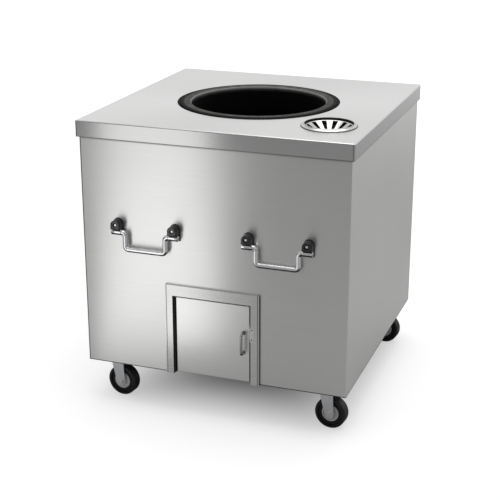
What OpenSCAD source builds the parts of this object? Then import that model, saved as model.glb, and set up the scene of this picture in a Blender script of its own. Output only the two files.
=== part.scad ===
// Mobile clay tandoor oven in a square stainless-steel casing, on four swivel casters.
// Origin: on the floor, under the middle of the worktop. +Z is up and the fire door faces -Y.

/* [Worktop] */
// Width of the worktop, side to side
top_w = 864; // [852:2:1100]
// Depth of the worktop, front to back
top_d = 864; // [852:2:1100]
// Height of the worktop above the floor
top_h = 920; // [760:2:1200]
// Depth of the worktop's turned-down edge
apron_h = 50; // [30:1:80]
// Outer radius of the worktop's bends
top_bend = 4; // [2.5:0.5:8]
// How far the worktop overhangs the casing
overhang = 8; // [5:1:14]
// Thickness of the stainless sheet
sheet = 1.5; // [1:0.5:2]

/* [Casing] */
// Outer radius of the casing's corner bends
casing_bend = 3; // [2:0.5:8]
// Width of the casing's rear flanges
rear_flange = 25; // [15:1:40]
// Leg of the base angle iron
base_leg = 40; // [30:1:50]
// Thickness of the base angle iron and caster gussets
base_t = 4; // [3:0.5:6]
// Leg of the posts' and top ring's angle iron
post_leg = 25; // [20:1:30]
// Thickness of the posts' and top ring's angle iron
post_t = 3; // [2:0.5:4]
// Side of the square gusset over each caster
gusset = 132; // [125:1:160]

/* [Clay pot] */
// Inside diameter of the mouth
mouth_d = 430; // [360:1:450]
// Width of the clay rim round the mouth
rim_w = 36; // [30:1:50]
// Height of the rim above the worktop
rim_proud = 3; // [2:1:20]
// Gap between the rim and the hole in the worktop
rim_gap = 8; // [2:0.5:12]
// Outside diameter of the pot's belly
belly_d = 700; // [640:2:740]
// Outside diameter of the pot's foot
foot_d = 600; // [560:2:640]
// Thickness of the clay wall
clay_wall = 40; // [30:1:50]
// Height of the draft arch in the pot's foot
arch_h = 82; // [76:1:90]
// Width of the draft arch
arch_w = 150; // [100:1:180]

/* [Hearth] */
// Height of the hearth block, which carries the pot
hearth_h = 126; // [120:1:160]
// Diameter of the hearth block
hearth_d = 650; // [620:2:760]
// Diameter of the charcoal grate
grate_d = 228; // [180:2:260]
// Thickness of the charcoal grate
grate_t = 12; // [8:1:16]
// Width of the grate's bars
grate_bar = 9; // [7:1:14]
// Number of slots across the grate
grate_slots = 9; // [5:2:11]
// Inside width of the fire tunnel
tunnel_w = 220; // [180:2:228]
// Inside height of the ash channel under the pot
channel_h = 98; // [80:1:104]
// Thickness of the fire tunnel's steel
tunnel_t = 2; // [1.5:0.5:4]
// Height of the ash pan
pan_h = 48; // [30:1:60]

/* [Fire door] */
// Inside width of the raised door frame
frame_in_w = 252; // [200:2:300]
// Height of the door frame's opening above the casing's lower edge
frame_in_h = 260; // [200:2:300]
// Width of the frame's side bars
frame_bar = 26; // [20:1:45]
// Width of the frame's top bar
frame_head = 33; // [20:1:45]
// Height of the frame's inner edge above the casing
frame_hi = 12; // [8:1:16]
// Height of the frame's outer edge above the casing
frame_lo = 8; // [4:1:12]
// Gap round the door's other edges
door_gap = 5; // [3:0.5:6]
// Depth of the folded door
door_depth = 18; // [15:1:25]
// How far the door's face stands out from the casing
door_proud = 3; // [1:0.5:5]
// Number of knuckles in the piano hinge
knuckles = 9; // [5:2:15]
// Diameter of the piano hinge's barrel
barrel_d = 6.4; // [5:0.2:8]
// Diameter of the hinge pin
hinge_pin_d = 3; // [2.5:0.1:3.4]
// Distance of the door pull from the door's free edge
pull_inset = 20; // [11:1:40]
// Distance between the feet of the door pull
pull_span = 65; // [50:1:96]
// Diameter of the door pull's rod
pull_d = 8; // [6:0.5:11]
// How far the door pull stands out from the door
pull_reach = 25; // [20:1:26]
// Height of the bullet catch above the middle of the door pull
catch_rise = 32; // [0:1:60]

/* [Carrying handles] */
// Height of the handle pivots above the floor
handle_h = 585; // [520:1:660]
// Distance of each handle's middle from the middle of the casing
handle_x = 210; // [200:1:250]
// Distance between the middles of a handle's two brackets
bracket_span = 186; // [160:1:220]
// Width of a bracket's boss
bracket_w = 30; // [26:1:40]
// How far a bracket stands out from the casing
bracket_depth = 30; // [24:1:34]
// Height of a bracket's arched top above the pivot
bracket_rise = 39; // [36:1:60]
// Height of the boss's lower edge above the pivot
boss_z = 10; // [8:1:18]
// Diameter of the barrel round the pivot
handle_barrel_d = 18; // [14:1:20]
// Diameter of the bail's rod
bail_d = 16; // [10:0.5:18]
// Diameter of the bail's pins
bail_pin_d = 10; // [7:0.5:12]
// Distance from the pivot down to the middle of the grip
bail_drop = 53; // [40:1:110]
// Radius of the bail's bends, at the middle of its rod
bail_bend = 11; // [9:1:20]

/* [Flue vent] */
// Sideways place of the vent on the worktop
vent_x = 304; // [290:1:320]
// Forward place of the vent on the worktop, from its middle
vent_y = 246; // [240:1:320]
// Outside diameter of the vent's collar
vent_od = 169; // [150:1:190]
// Inside diameter of the vent's collar
vent_id = 144; // [130:1:160]
// Height of the collar above the worktop
vent_lip = 10; // [6:1:14]
// Depth of the slotted dish
dish_depth = 30; // [15:1:36]
// Number of slots in the dish
vent_slots = 12; // [6:1:14]
// Thickness of the vent's pressed steel
vent_t = 1.2; // [1:0.1:2]
// Direction of the slots as the vent was set, in degrees
vent_set = 29.5; // [0:0.5:36]
// Depth of the vent's duct below the worktop
duct_h = 90; // [60:1:140]

/* [Casters] */
// Height of the casing above the tops of the wheels
caster_head = 38; // [30:1:60]
// Diameter of a wheel
wheel_d = 100; // [90:1:104]
// Width of a tyre
tyre_w = 34; // [26:1:38]
// Diameter of the wheel's core
core_d = 54; // [46:1:60]
// Width of a fork's cheek at its crown
cheek_w = 44; // [36:1:48]
// Distance of a caster's swivel axis in from the casing's sides
caster_inset = 74; // [62:1:90]
// Distance from a caster's swivel axis to its axle
trail = 12; // [8:1:26]
// Direction in which the wheels have trailed, in degrees from +X
trail_dir = -6; // [-180:1:180]
// Diameter of an axle
axle_d = 10; // [8:1:12]
// Diameter of a kingpin
kingpin_d = 12; // [10:1:14]
// Length of a caster's top plate, from side to side
plate_l = 102; // [96:1:110]
// Width of a caster's top plate, from front to back
plate_w = 86; // [80:1:96]
// Spacing of the bolt holes along the top plate
bolt_x = 80; // [74:1:84]
// Spacing of the bolt holes across the top plate
bolt_y = 60; // [56:1:68]
// Diameter of the caster bolts
bolt_d = 8; // [6:1:9]

/* [Clearances] */
// Gap left between pieces that only lie next to each other
lay_gap = 0.3; // [0.1:0.1:0.5]
// Radial running clearance round pins and axles
run_gap = 0.05; // [0.02:0.01:0.1]
// Extra diameter of a bolt hole
hole_gap = 0.6; // [0.2:0.1:1]

/* [Hidden] */
$fn = 64;
body_w = top_w - 2 * overhang;
body_d = top_d - 2 * overhang;
caster_h = wheel_d + caster_head;       // from the floor to the casing
body_z = caster_h;                      // underside of the casing
under_z = top_h - sheet;                // underside of the worktop
front_y = -body_d / 2;                  // outer face of the casing's front
frame_w = body_w - 4 * sheet;           // outside of the inner frame
frame_d = body_d - 4 * sheet;
floor_z = body_z + base_t;              // underside of the base plate
hearth_z = floor_z + sheet;             // underside of the hearth
pot_z = hearth_z + hearth_h;            // foot of the pot
rim_z = top_h + rim_proud;              // top of the rim
rim_d = mouth_d + 2 * rim_w;
hole_d = rim_d + 2 * rim_gap;           // hole in the worktop
fill_z = under_z - 10;                  // top of the insulation
fill_w = frame_w - 2 * base_t - 1;
fill_d = frame_d - 2 * base_t - 1;
tunnel_z = hearth_z;                    // underside of the fire tunnel
tunnel_y = front_y + door_proud + 19;   // front of the fire tunnel
tunnel_top = body_z + frame_in_h - 16;  // top of the tunnel's mouth, inside
grate_hole = grate_d - 28;              // ash hole under the grate
frame_top = body_z + frame_in_h;        // upper edge of the door opening
frame_back = 14;                        // depth of the frame's return behind the casing
doorway_w = frame_in_w + 2 * sheet + 2 * lay_gap;
face_y = front_y - door_proud;          // front face of the door
hinge_gap = barrel_d + 2 * lay_gap;     // gap that the hinge's barrel fills
door_x0 = -frame_in_w / 2 + hinge_gap;  // hinge edge of the door
door_x1 = frame_in_w / 2 - door_gap;    // free edge of the door
door_z0 = body_z + door_gap;
door_z1 = frame_top - door_gap;
door_w = door_x1 - door_x0;
door_h = door_z1 - door_z0;
door_x = (door_x0 + door_x1) / 2;
door_z = (door_z0 + door_z1) / 2;
hinge_x = -frame_in_w / 2 + hinge_gap / 2;
hinge_y = face_y - barrel_d / 2 - lay_gap;
leaf_t = 1;
pull_x = door_x1 - pull_inset;
pull_z = door_z + 4;
catch_z = pull_z + catch_rise;          // height of the bullet catch
strike_h = 46;
strike_t = 1;
pivot_y = bracket_depth / 2;            // bail pivot, out from the casing
screw_rise = (boss_z + bracket_rise) / 2;
screw_d = 6;                            // diameter of the bracket screws
screw_sink = 6;                         // depth of the recess for a screw's head
barrel_w = bracket_w + 2;               // length of a bracket's barrel
dish_in = 20;                           // radius of the dish's flat middle
dish_out = vent_id / 2 - 1;             // outer radius of the dish
dish_z = top_h + 1;                     // upper edge of the dish
slot_in = 27;                           // slots start at this radius
slot_out = vent_id / 2 - 4;
slot_angle = 180 / vent_slots - 1;      // angular width of a slot
caster_x = body_w / 2 - caster_inset;
caster_y = body_d / 2 - caster_inset;
plate_t = 3;
race_h = 10;                            // depth of the swivel race
race_d = 56;                            // diameter of the swivel race
race_z = caster_h - plate_t - race_h;   // underside of the race
fork_t = 3;
fork_top = race_z - lay_gap;            // top of the fork's crown
cheek_in = tyre_w / 2 + 3;              // inner face of a fork cheek
axle_z = wheel_d / 2;
side_w = tyre_w / 2 - 5;                // recessed sides of a wheel, from its middle
nut_h = 6;

CORNERS = [[-1, -1], [1, -1], [-1, 1], [1, 1]];
SIDES = [-1, 1];

// ---------- shared shapes ----------

// Rectangle with round corners, centred
module round_rect(w, d, r) {
    square([w - 2 * r, d], center = true);
    square([w, d - 2 * r], center = true);
    for (sx = SIDES, sy = SIDES)
        translate([sx * (w / 2 - r), sy * (d / 2 - r)])
            circle(r);
}

// Rectangle from z0 to z1 whose two upper corners are round
module top_round(w, z0, z1, r) {
    translate([-w / 2, z0]) square([w, z1 - z0 - r]);
    translate([-w / 2 + r, z0]) square([w - 2 * r, z1 - z0]);
    for (s = SIDES)
        translate([s * (w / 2 - r), z1 - r])
            circle(r);
}

// Block whose four upper edges are bent round, with round upright corners
module bent_block(w, d, z0, z1, r, corner) {
    intersection() {
        translate([0, 0, z0]) linear_extrude(z1 - z0) round_rect(w, d, corner);
        rotate([90, 0, 0]) linear_extrude(d + 2, center = true) top_round(w, z0, z1, r);
        rotate([90, 0, 90]) linear_extrude(w + 2, center = true) top_round(d, z0, z1, r);
    }
}

// Box centred in x and y, between two heights
module slab(w, d, z0, z1) {
    translate([-w / 2, -d / 2, z0]) cube([w, d, z1 - z0]);
}

// Four-sided wall
module ring(w, d, z0, z1, t) {
    difference() {
        slab(w, d, z0, z1);
        slab(w - 2 * t, d - 2 * t, z0 - 1, z1 + 1);
    }
}

// Upright cylinder between two heights
module post(d, z0, z1) {
    translate([0, 0, z0]) cylinder(d = d, h = z1 - z0);
}

// Hexagon prism between two heights
module hex(across, z0, z1) {
    translate([0, 0, z0]) cylinder(d = across / cos(30), h = z1 - z0, $fn = 6);
}

// ---------- casing ----------

// Folded worktop: turned-down apron, small hem, collar round the mouth, hole for the vent
module worktop() {
    hem = overhang - sheet - 1;
    apron_z = top_h - apron_h;
    collar_d = hole_d + 2 * sheet;
    color("gainsboro")
    difference() {
        union() {
            difference() {
                bent_block(top_w, top_d, apron_z, top_h, top_bend, top_bend);
                bent_block(top_w - 2 * sheet, top_d - 2 * sheet, apron_z + sheet, under_z,
                           top_bend - sheet, top_bend - sheet);
                slab(top_w - 2 * (sheet + hem), top_d - 2 * (sheet + hem),
                     apron_z - 1, apron_z + 2 * sheet);
            }
            post(collar_d, under_z - 9, under_z + sheet / 2);
        }
        post(hole_d, under_z - 20, top_h + 1);
        translate([vent_x, -vent_y]) post(vent_id + 2 * vent_t + lay_gap, under_z - 1, top_h + 1);
    }
}

// Front and both sides bent from one sheet, with flanges for the back panel
module casing_wrap() {
    wrap_d = body_d - sheet;
    color("silver")
    difference() {
        translate([0, -sheet / 2, body_z]) linear_extrude(under_z - body_z)
            difference() {
                round_rect(body_w, wrap_d, casing_bend);
                round_rect(body_w - 2 * sheet, wrap_d - 2 * sheet, casing_bend - sheet);
                translate([0, wrap_d / 2])
                    square([body_w - 2 * rear_flange, 6 * sheet], center = true);
            }
        translate([-frame_in_w / 2 - sheet, front_y - 1, body_z - 1])
            cube([frame_in_w + 2 * sheet, sheet + 2, frame_in_h + sheet + 1]);
        bracket_holes();
    }
}

// Flat sheet that closes the back
module back_panel() {
    color("silver")
    difference() {
        translate([0, body_d / 2 - sheet / 2, 0])
            slab(body_w, sheet, body_z, under_z);
        bracket_holes();
    }
}

// Welded angle-iron skeleton, with a gusset over each caster
module inner_frame() {
    rail_z = under_z - post_t;
    color("dimgray")
    difference() {
        union() {
            ring(frame_w, frame_d, body_z, floor_z, base_leg);
            ring(frame_w, frame_d, body_z, body_z + base_leg, base_t);
            ring(frame_w, frame_d, rail_z, under_z, post_leg);
            ring(frame_w, frame_d, under_z - post_leg, under_z, post_t);
            for (c = CORNERS) {
                translate([c[0] * (frame_w - gusset) / 2, c[1] * (frame_d - gusset) / 2])
                    slab(gusset, gusset, body_z, floor_z);
                translate([c[0] * (frame_w - post_leg) / 2, c[1] * (frame_d - post_t) / 2])
                    slab(post_leg, post_t, body_z, under_z);
                translate([c[0] * (frame_w - post_t) / 2, c[1] * (frame_d - post_leg) / 2])
                    slab(post_t, post_leg, body_z, under_z);
            }
        }
        // the front rail's upright leg stops at the fire tunnel, and its flat leg is notched
        translate([0, -frame_d / 2])
            slab(frame_in_w + 4 * sheet, 2 * base_leg - 4, floor_z, body_z + base_leg + 1);
        doorway(body_z - 1, floor_z + 1);
        at_casters() {
            post(kingpin_d + 10, body_z - 1, floor_z + 1);
            for (x = SIDES, y = SIDES)
                translate([x * bolt_x / 2, y * bolt_y / 2])
                    post(bolt_d + hole_gap, body_z - 1, floor_z + 1);
        }
    }
}

// Space that the door and its frame take up behind the casing's front, between two heights
module doorway(z0, z1) {
    translate([0, front_y]) slab(doorway_w, 2 * (frame_back + 5), z0, z1);
}

// Bottom sheet, notched for the door and at the corners for the caster bolts
module base_plate() {
    color("gray")
    difference() {
        slab(fill_w, fill_d, floor_z, hearth_z);
        for (c = CORNERS)
            translate([c[0] * fill_w / 2, c[1] * fill_d / 2])
                slab(2 * gusset, 2 * gusset, floor_z - 1, hearth_z + 1);
        doorway(floor_z - 1, hearth_z + 1);
    }
}

// ---------- clay pot, hearth and insulation ----------

// Outer radius of the pot at height z: foot, belly and neck on a smooth curve
function pot_r(z) =
    let (h = rim_z - pot_z, t = (z - pot_z) / h, belly_t = 0.36)
    t < belly_t
        ? foot_d / 2 + (belly_d - foot_d) / 2 * sin(90 * t / belly_t)
        : rim_d / 2 + (belly_d - rim_d) / 2 * (1 + cos(180 * (t - belly_t) / (1 - belly_t))) / 2;

pot_steps = 18;
pot_zs = [for (i = [0 : pot_steps]) pot_z + i * (rim_z - pot_z) / pot_steps];
lip_r = 5;                              // rounding of the rim's edges

// Inner radius of the pot: the wall thickens to the rim's width at the mouth
function pot_ri(z) =
    let (t = (z - pot_z) / (rim_z - pot_z))
    pot_r(z) - clay_wall - (rim_w - clay_wall) * pow(t, 4);

// Solid of the pot's outside, grown by a gap, for what fits round it
module pot_body(grow) {
    rotate_extrude($fn = 96)
        polygon(concat([[0, pot_z - grow]],
                       [for (z = pot_zs) [pot_r(z) + grow, z == pot_z ? z - grow : z]],
                       [[0, rim_z]]));
}

// Coil-built pot with a round-edged rim and the draft arch in its foot
module clay_pot() {
    color([0.30, 0.28, 0.26])
    difference() {
        rotate_extrude($fn = 96) {
            polygon(concat([for (z = pot_zs) if (z < rim_z - lip_r) [pot_r(z), z]],
                           [[rim_d / 2, rim_z - lip_r], [rim_d / 2 - lip_r, rim_z - lip_r],
                            [rim_d / 2 - lip_r, rim_z], [mouth_d / 2 + lip_r, rim_z],
                            [mouth_d / 2 + lip_r, rim_z - lip_r],
                            [mouth_d / 2, rim_z - lip_r]],
                           [for (i = [1 : pot_steps])
                               let (z = pot_zs[pot_steps - i])
                               if (z < rim_z - lip_r) [pot_ri(z), z]]));
            translate([rim_d / 2 - lip_r, rim_z - lip_r]) circle(lip_r);
            translate([mouth_d / 2 + lip_r, rim_z - lip_r]) circle(lip_r);
        }
        draft_arch();
    }
}

// Arched passage from the fire tunnel into the pot
module draft_arch() {
    sill = 24;
    rise = arch_h - arch_w / 2;
    translate([0, 0, pot_z + sill])
        rotate([90, 0, 0])
            linear_extrude(foot_d) {
                translate([-arch_w / 2, 0]) square([arch_w, max(rise, 1)]);
                translate([0, max(rise, 1)])
                    intersection() {
                        circle(d = arch_w);
                        translate([-arch_w / 2, 0]) square([arch_w, arch_w]);
                    }
            }
}

// Refractory block under the pot, with the ash channel and a seat for the grate
module hearth_block() {
    color([0.62, 0.55, 0.46])
    difference() {
        post(hearth_d, hearth_z, pot_z);
        tunnel_shape(tunnel_t + lay_gap);
        post(grate_hole, tunnel_z, pot_z + 1);
        post(grate_d + 4, pot_z - grate_t - lay_gap, pot_z + 1);
    }
}

// Space of the fire tunnel and its ash channel, grown on all sides
module tunnel_shape(grow) {
    z0 = tunnel_z + tunnel_t - grow;
    w = tunnel_w + 2 * grow;
    end_y = grate_d / 2 + 6 + grow;
    mouth_y = -foot_d / 2 + clay_wall + grow;
    translate([-w / 2, tunnel_y - 1, z0])
        cube([w, end_y - tunnel_y + 1, channel_h + 2 * grow]);
    translate([-w / 2, tunnel_y - 1, z0])
        cube([w, mouth_y - tunnel_y + 1, tunnel_top - tunnel_z - tunnel_t + 2 * grow]);
}

// Steel fire tunnel behind the door, with a turned-out flange at its mouth
module fire_tunnel() {
    flange = 8;
    color("gray")
    difference() {
        union() {
            intersection() {
                tunnel_shape(tunnel_t);
                translate([0, tunnel_y + body_d / 2]) slab(body_w, body_d, body_z, under_z);
            }
            translate([-tunnel_w / 2 - flange, tunnel_y, tunnel_z])
                cube([tunnel_w + 2 * flange, tunnel_t, tunnel_top - tunnel_z + flange]);
        }
        tunnel_shape(0);
        pot_body(lay_gap);
        post(grate_hole, tunnel_z + channel_h / 2, pot_z);
    }
}

// Cast-iron grate: a ring with straight bars
module charcoal_grate() {
    pitch = (grate_d - 24) / grate_slots;
    color([0.2, 0.2, 0.2])
    difference() {
        post(grate_d, pot_z - grate_t, pot_z);
        for (i = [0 : grate_slots - 1]) {
            x = (i - (grate_slots - 1) / 2) * pitch;
            half = sqrt(pow(grate_d / 2 - 12, 2) - pow(x, 2));
            if (half > 15)
                translate([x, 0]) {
                    slot_w = pitch - grate_bar;
                    slab(slot_w, 2 * half - slot_w, pot_z - grate_t - 1, pot_z + 1);
                    for (s = SIDES)
                        translate([0, s * (half - slot_w / 2)])
                            post(slot_w, pot_z - grate_t - 1, pot_z + 1);
                }
        }
    }
}

// Loose pan that catches the ash, with a finger loop at its front
module ash_pan() {
    w = tunnel_w - 16;
    y0 = tunnel_y + 24;
    y1 = grate_d / 2;
    z0 = tunnel_z + tunnel_t;
    mid = (y0 + y1) / 2;
    loop_r = 16;
    color("darkgray") {
        difference() {
            translate([0, mid]) slab(w, y1 - y0, z0, z0 + pan_h);
            translate([0, mid])
                slab(w - 2 * sheet, y1 - y0 - 2 * sheet, z0 + sheet, z0 + pan_h + 1);
        }
        translate([0, y0, z0 + pan_h / 2])
            rotate([0, 0, 180])
                rotate_extrude(angle = 180) translate([loop_r, 0]) circle(2.5, $fn = 24);
    }
}

// Fill round the pot, cut for every piece that stands in it
module insulation() {
    color([0.85, 0.80, 0.62])
    difference() {
        slab(fill_w, fill_d, hearth_z, fill_z);
        pot_body(lay_gap);
        post(hearth_d + 2 * lay_gap, hearth_z - 1, pot_z + lay_gap);
        post(hole_d + 2 * sheet + 2 * lay_gap, under_z - 11, fill_z + 1);
        tunnel_shape(tunnel_t + lay_gap);
        translate([-doorway_w / 2, front_y - 1, hearth_z - 1])
            cube([doorway_w, 34, frame_in_h + 14]);
        for (c = CORNERS) {
            translate([c[0] * fill_w / 2, c[1] * fill_d / 2])
                slab(2 * post_leg, 2 * post_leg, hearth_z - 1, fill_z + 1);
            translate([c[0] * fill_w / 2, c[1] * fill_d / 2])
                slab(2 * gusset, 2 * gusset, hearth_z - 1, floor_z + 14);
        }
        translate([vent_x, -vent_y])
            post(vent_id + 2 * vent_t + 2 * lay_gap, under_z - duct_h - lay_gap, fill_z + 1);
        at_brackets()
            rotate([90, 0, 0]) translate([0, screw_rise, -30]) cylinder(d = 18, h = 30);
    }
}

// ---------- fire door ----------

// Section of a folded frame bar: u across the bar from its inner edge, v out of the casing
module frame_section(bar) {
    polygon([[0, -frame_back], [0, frame_hi], [bar, frame_lo], [bar, 0],
             [bar - sheet, 0], [bar - sheet, frame_lo - sheet],
             [sheet, frame_hi - sheet], [sheet, -frame_back]]);
}

// Raised frame round three sides of the door, mitred at its upper corners
module door_frame() {
    half = frame_in_w / 2;
    rise = frame_top - body_z;
    color("lightgray")
    difference() {
        frame_bars(half, rise);
        at_strike_screws() strike_screw(run_gap);
    }
}

module frame_bars(half, rise) {
    translate([0, front_y, 0]) {
        for (s = SIDES)
            intersection() {
                translate([s * half, 0, body_z])
                    linear_extrude(rise + frame_head)
                        mirror([s < 0 ? 1 : 0, 0]) mirror([0, 1]) frame_section(frame_bar);
                rotate([90, 0, 0]) linear_extrude(80, center = true)
                    polygon([[s * half, body_z], [s * (half + frame_bar), body_z],
                             [s * (half + frame_bar), frame_top + frame_head],
                             [s * half, frame_top]]);
            }
        intersection() {
            translate([0, 0, frame_top])
                rotate([0, -90, 0])
                    linear_extrude(frame_in_w + 2 * frame_bar, center = true)
                        mirror([0, 1]) frame_section(frame_head);
            rotate([90, 0, 0]) linear_extrude(80, center = true)
                polygon([[-half, frame_top], [half, frame_top],
                         [half + frame_bar, frame_top + frame_head],
                         [-half - frame_bar, frame_top + frame_head]]);
        }
    }
}

// Angled strike on the frame's free side, with a dimple for the bullet catch
module strike_plate() {
    fall = (frame_hi - frame_lo) / frame_bar;
    lip = 9;
    top = frame_hi + strike_t;
    color("silver")
    difference() {
        translate([frame_in_w / 2, front_y, catch_z - strike_h / 2])
            linear_extrude(strike_h)
                mirror([0, 1])
                    polygon([[-strike_t, -9], [-strike_t, top + strike_t * fall],
                             [lip, top - lip * fall], [lip, frame_hi - lip * fall],
                             [0, frame_hi], [0, -9]]);
        at_strike_screws() strike_screw(run_gap);
        translate([frame_in_w / 2 - 2 * strike_t, face_y + door_depth / 2, catch_z])
            rotate([0, 90, 0]) cylinder(d = 5, h = 2 * strike_t);
    }
}

// Places its children on the strike's lip, +Y into the frame
module at_strike_screws() {
    for (s = SIDES)
        translate([frame_in_w / 2, front_y - frame_hi - strike_t, catch_z + s * (strike_h / 2 - 7)])
            rotate(atan2(frame_hi - frame_lo, frame_bar))
                translate([4.5, 0, 0]) rotate([-90, 0, 0]) children();
}

// Shank and domed head of a strike screw, the shank grown by a clearance
module strike_screw(grow) {
    translate([0, 0, grow > 0 ? -2 : 0]) cylinder(d = 3 + 2 * grow, h = 8);
}

module strike_screws() {
    color("dimgray")
    at_strike_screws() {
        strike_screw(0);
        translate([0, 0, -1]) cylinder(d = 5, h = 1);
        translate([0, 0, -1.4]) cylinder(d1 = 3.6, d2 = 5, h = 0.4);
    }
}

knuckle_pitch = door_h / knuckles;

// Knuckles of one leaf; parity chooses every other one
module knuckle_row(parity, d, gap) {
    for (i = [parity : 2 : knuckles - 1])
        translate([hinge_x, hinge_y])
            post(d, door_z0 + i * knuckle_pitch + gap, door_z0 + (i + 1) * knuckle_pitch - gap);
}

// One leaf of the piano hinge, from x0, notched round the other leaf's knuckles
module hinge_leaf(x0, parity) {
    difference() {
        union() {
            translate([x0, hinge_y, door_z0]) cube([leaf_t, 16, door_h]);
            knuckle_row(parity, barrel_d, lay_gap / 2);
        }
        knuckle_row(1 - parity, barrel_d + 2 * lay_gap, -lay_gap / 2);
        translate([hinge_x, hinge_y])
            post(hinge_pin_d + 2 * run_gap, door_z0 - 1, door_z1 + 1);
    }
}

module hinge_frame_leaf() {
    color("silver") hinge_leaf(-frame_in_w / 2, 0);
}

module hinge_door_leaf() {
    color("silver") hinge_leaf(door_x0 - leaf_t, 1);
}

module hinge_pin() {
    color("dimgray")
    translate([hinge_x, hinge_y])
        post(hinge_pin_d, door_z0, door_z1);
}

// Folded tray of the door, open at the back
module door_panel() {
    color("lightgray")
    difference() {
        translate([door_x, face_y, door_z]) rotate([90, 0, 0])
            difference() {
                bent_block(door_w, door_h, -door_depth, 0, 2.5, 3);
                bent_block(door_w - 2 * sheet, door_h - 2 * sheet, -door_depth - 1, -sheet, 1, 1.5);
            }
        translate([door_x1 - 2 * sheet, face_y + door_depth / 2, catch_z])
            rotate([0, 90, 0]) cylinder(d = 8 + 2 * run_gap, h = 3 * sheet);
    }
}

// Blanket inside the door
module door_insulation() {
    color("beige")
    difference() {
        translate([door_x, face_y + door_depth / 2 + sheet / 2, 0])
            slab(door_w - 2 * sheet - 1, door_depth - sheet - 1, door_z0 + sheet + 0.5,
                 door_z1 - sheet - 0.5);
        translate([door_x1 - 24, face_y + door_depth / 2, catch_z])
            rotate([0, 90, 0]) cylinder(d = 10, h = 30);
        for (x = SIDES, z = SIDES)
            translate([door_x + x * (door_w / 2 - 10), 0, door_z + z * (door_h / 2 - 10)])
                rotate([90, 0, 0]) translate([0, 0, -face_y - door_depth - 1]) cylinder(d = 6, h = 8);
    }
}

// Inner sheet that closes the door
module door_liner() {
    back_y = face_y + door_depth;
    color("gray")
    difference() {
        translate([door_x, back_y + sheet / 2, 0])
            slab(door_w - 2, sheet, door_z0 + 1, door_z1 - 1);
        for (x = SIDES, z = SIDES)
            translate([door_x + x * (door_w / 2 - 10), back_y, door_z + z * (door_h / 2 - 10)])
                rotate([90, 0, 0]) cylinder(d = 4 + 2 * run_gap, h = 2 * sheet + 2, center = true);
    }
}

// Rivets that hold the liner, with their heads inside the oven
module liner_rivets() {
    back_y = face_y + door_depth + sheet;
    color("silver")
    for (x = SIDES, z = SIDES)
        translate([door_x + x * (door_w / 2 - 10), back_y, door_z + z * (door_h / 2 - 10)])
            rotate([-90, 0, 0]) {
                translate([0, 0, -sheet - 5]) cylinder(d = 4, h = sheet + 5);
                cylinder(d1 = 8, d2 = 5, h = 1.6);
            }
}

// Bow pull: two feet, two bends and a straight grip
module door_pull() {
    bend = pull_d;
    grip_y = face_y - pull_reach + pull_d / 2;
    color("white")
    translate([pull_x, 0, pull_z]) {
        for (s = SIDES) {
            translate([0, face_y, s * pull_span / 2]) rotate([90, 0, 0]) {
                cylinder(d = pull_d + 6, h = 2);
                cylinder(d = pull_d, h = pull_reach - pull_d / 2 - bend);
            }
            translate([0, grip_y + bend, s * (pull_span / 2 - bend)])
                rotate([0, 90, 0])
                    rotate_extrude(angle = 90, start = 225 - 45 * s)
                        translate([bend, 0]) circle(d = pull_d);
        }
        translate([0, grip_y]) post(pull_d, bend - pull_span / 2, pull_span / 2 - bend);
    }
}

// Sprung bullet catch in the door's free edge, its ball just clear of the strike
module bullet_catch() {
    ball_d = 5;
    tip = door_gap - strike_t - 3 * lay_gap;
    color("silver")
    translate([door_x1, face_y + door_depth / 2, catch_z])
        rotate([0, 90, 0]) {
            translate([0, 0, -18]) cylinder(d = 8, h = 18);
            translate([0, 0, tip - ball_d / 2]) sphere(d = ball_d);
        }
}

// ---------- carrying handles ----------

// Places its children at the middle of each handle, z up, facing -Y at the front
module at_handle(sx, sy) {
    rotate([0, 0, sy > 0 ? 180 : 0])
        translate([sx * (sy > 0 ? -1 : 1) * handle_x, front_y, handle_h])
            children();
}

// Places its children at each bracket's pivot height on the casing
module at_brackets() {
    for (c = CORNERS, s = SIDES)
        at_handle(c[0], c[1]) translate([s * bracket_span / 2, 0, 0]) children();
}

// Holes in the casing for the bracket screws
module bracket_holes() {
    at_brackets()
        translate([0, 0, screw_rise]) rotate([90, 0, 0])
            cylinder(d = screw_d + hole_gap, h = 6 * sheet, center = true);
}

// Outline with an arched top, from a height up to the bracket's top, grown all round
module bracket_outline(z0, grow) {
    w = bracket_w + 2 * grow;
    arch_z = bracket_rise - bracket_w / 2;
    translate([0, arch_z]) circle(d = w);
    translate([-w / 2, z0 - grow]) square([w, arch_z - z0 + grow]);
}

// Cast bracket: arched boss with a sunk screw, a neck, and a barrel with a blind bore
module bracket(inward) {
    flange = 4;
    r = handle_barrel_d / 2;
    end_wall = 3;
    difference() {
        union() {
            rotate([90, 0, 0]) linear_extrude(flange) bracket_outline(-r, 2);
            rotate([90, 0, 0]) linear_extrude(bracket_depth - 2) bracket_outline(boss_z, 0);
            rotate([90, 0, 0]) linear_extrude(bracket_depth) bracket_outline(boss_z, -2);
            translate([-bracket_w / 2 + 3, 0, 0]) {
                translate([0, -pivot_y - r, 0]) cube([bracket_w - 6, pivot_y + r, boss_z + 1]);
                translate([0, -pivot_y, -r]) cube([bracket_w - 6, pivot_y, r + 1]);
            }
            translate([-barrel_w / 2, -pivot_y, 0]) rotate([0, 90, 0])
                cylinder(r = r, h = barrel_w);
        }
        translate([inward * (barrel_w / 2 + 1), -pivot_y, 0])
            rotate([0, -90 * inward, 0])
                cylinder(d = bail_pin_d + 2 * run_gap, h = barrel_w + 1 - end_wall);
        translate([0, 1, screw_rise]) rotate([90, 0, 0])
            cylinder(d = screw_d + hole_gap, h = bracket_depth);
        translate([0, screw_sink - bracket_depth, screw_rise]) rotate([90, 0, 0])
            cylinder(d = 13, h = screw_sink + 1);
    }
}

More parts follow.
